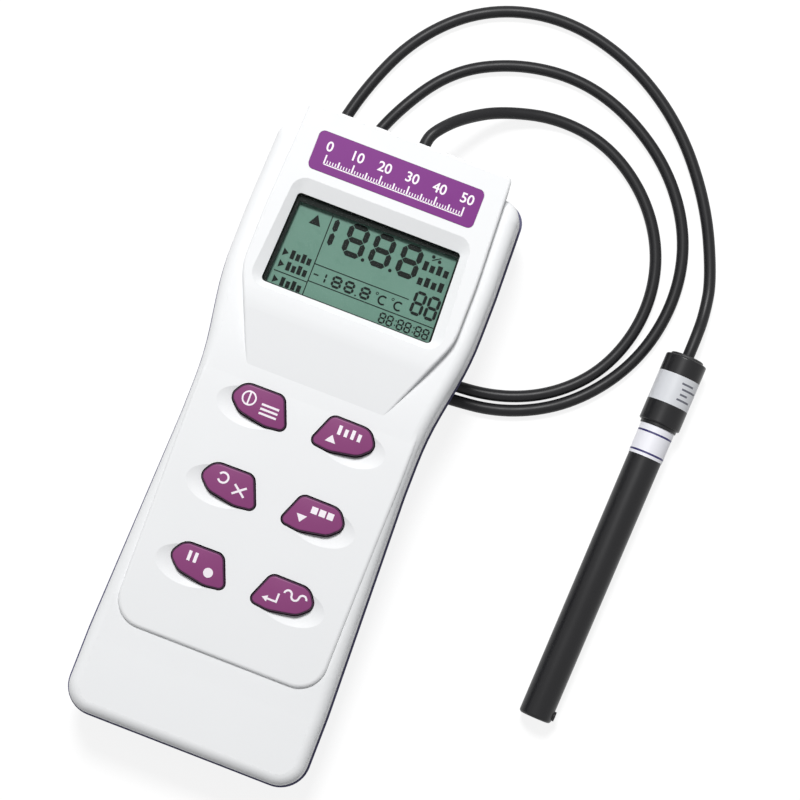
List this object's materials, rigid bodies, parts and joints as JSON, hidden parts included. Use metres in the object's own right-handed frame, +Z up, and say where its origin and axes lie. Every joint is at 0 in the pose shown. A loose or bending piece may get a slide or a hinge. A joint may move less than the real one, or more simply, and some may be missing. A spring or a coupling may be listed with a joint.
{
  "type": "salinity meter",
  "caption": "Handheld salinity meter with a display, a two-column keypad and a rod-shaped probe on a cable coiled beside it.",
  "frame": {"origin": "on the flat of the raised battery bay that the meter rests on, at the middle of the case's length and width", "axes": "+X to the right of the display, +Y towards the display end, +Z up out of the face"},
  "size_m": [0.1363, 0.2325, 0.0341],
  "materials": {
    "white_shell": "fine satin texture",
    "indigo_shell": "fine satin texture",
    "purple_film": "semi-gloss printed film",
    "purple_rubber": "satin silicone rubber",
    "clear_window": "clear",
    "display_glass": "reflective grey-green liquid crystal",
    "dark_frame": "matt",
    "strip_rubber": "layered conductive rubber",
    "green_board": "solder mask",
    "chip_black": "matt moulding",
    "screw_steel": "zinc plated",
    "mat_rubber": "matt silicone rubber",
    "carbon_pill": "carbon rubber",
    "cell_wrap": "printed wrap",
    "contact_metal": "nickel plated",
    "gland_rubber": "moulded rubber",
    "cable_jacket": "matt flexible jacket",
    "header_plastic": "moulded",
    "jack_black": "moulded",
    "probe_black": "satin moulding",
    "silver_wrap": "satin silver film",
    "white_film": "semi-gloss film",
    "electrode_metal": "polished",
    "potting": "epoxy",
    "lead_plastic": "insulated wire"
  },
  "bodies": {
    "meter": {"front_case": "white_shell", "rear_case": "indigo_shell", "face_label": "purple_film", "display_window": "clear_window", "lcd_glass": "display_glass", "lcd_frame": "dark_frame", "lcd_zebra_strips": "strip_rubber", "main_board": "green_board", "board_chips": "chip_black", "board_screws": "screw_steel", "case_screws": "screw_steel", "keypad_mat": "mat_rubber", "battery_springs": "contact_metal", "battery_plates": "contact_metal", "cable_gland": "gland_rubber", "cable_header": "header_plastic", "inner_lead": "cable_jacket", "output_jack": "jack_black", "probe_cap": "probe_black", "probe_cap_label": "silver_wrap", "probe_grommet": "gland_rubber", "probe_shaft": "probe_black", "probe_band": "white_film", "cell_rings": "electrode_metal", "cell_plug": "potting", "temperature_sensor": "electrode_metal", "probe_leads": "lead_plastic", "probe_cable": "cable_jacket", "battery_cell_1": "cell_wrap", "battery_cell_2": "cell_wrap", "battery_cell_3": "cell_wrap", "battery_cell_4": "cell_wrap"},
    "key_power": {"key_power": "purple_rubber", "key_power_contact": "carbon_pill"},
    "key_up": {"key_up": "purple_rubber", "key_up_contact": "carbon_pill"},
    "key_escape": {"key_escape": "purple_rubber", "key_escape_contact": "carbon_pill"},
    "key_down": {"key_down": "purple_rubber", "key_down_contact": "carbon_pill"},
    "key_hold": {"key_hold": "purple_rubber", "key_hold_contact": "carbon_pill"},
    "key_enter": {"key_enter": "purple_rubber", "key_enter_contact": "carbon_pill"},
    "battery_door": {"battery_door": "indigo_shell"}
  },
  "joints": [
    {"name": "key_power_press", "type": "slide", "parent": "meter", "child": "key_power", "axis": [0, 0, -1], "range_m": [0, 0.0009], "stiffness_N_per_m": 1200},
    {"name": "key_up_press", "type": "slide", "parent": "meter", "child": "key_up", "axis": [0, 0, -1], "range_m": [0, 0.0009], "stiffness_N_per_m": 1200},
    {"name": "key_escape_press", "type": "slide", "parent": "meter", "child": "key_escape", "axis": [0, 0, -1], "range_m": [0, 0.0009], "stiffness_N_per_m": 1200},
    {"name": "key_down_press", "type": "slide", "parent": "meter", "child": "key_down", "axis": [0, 0, -1], "range_m": [0, 0.0009], "stiffness_N_per_m": 1200},
    {"name": "key_hold_press", "type": "slide", "parent": "meter", "child": "key_hold", "axis": [0, 0, -1], "range_m": [0, 0.0009], "stiffness_N_per_m": 1200},
    {"name": "key_enter_press", "type": "slide", "parent": "meter", "child": "key_enter", "axis": [0, 0, -1], "range_m": [0, 0.0009], "stiffness_N_per_m": 1200},
    {"name": "battery_door_slide", "type": "slide", "parent": "meter", "child": "battery_door", "axis": [0, -1, 0], "range_m": [0, 0.056]}
  ]
}
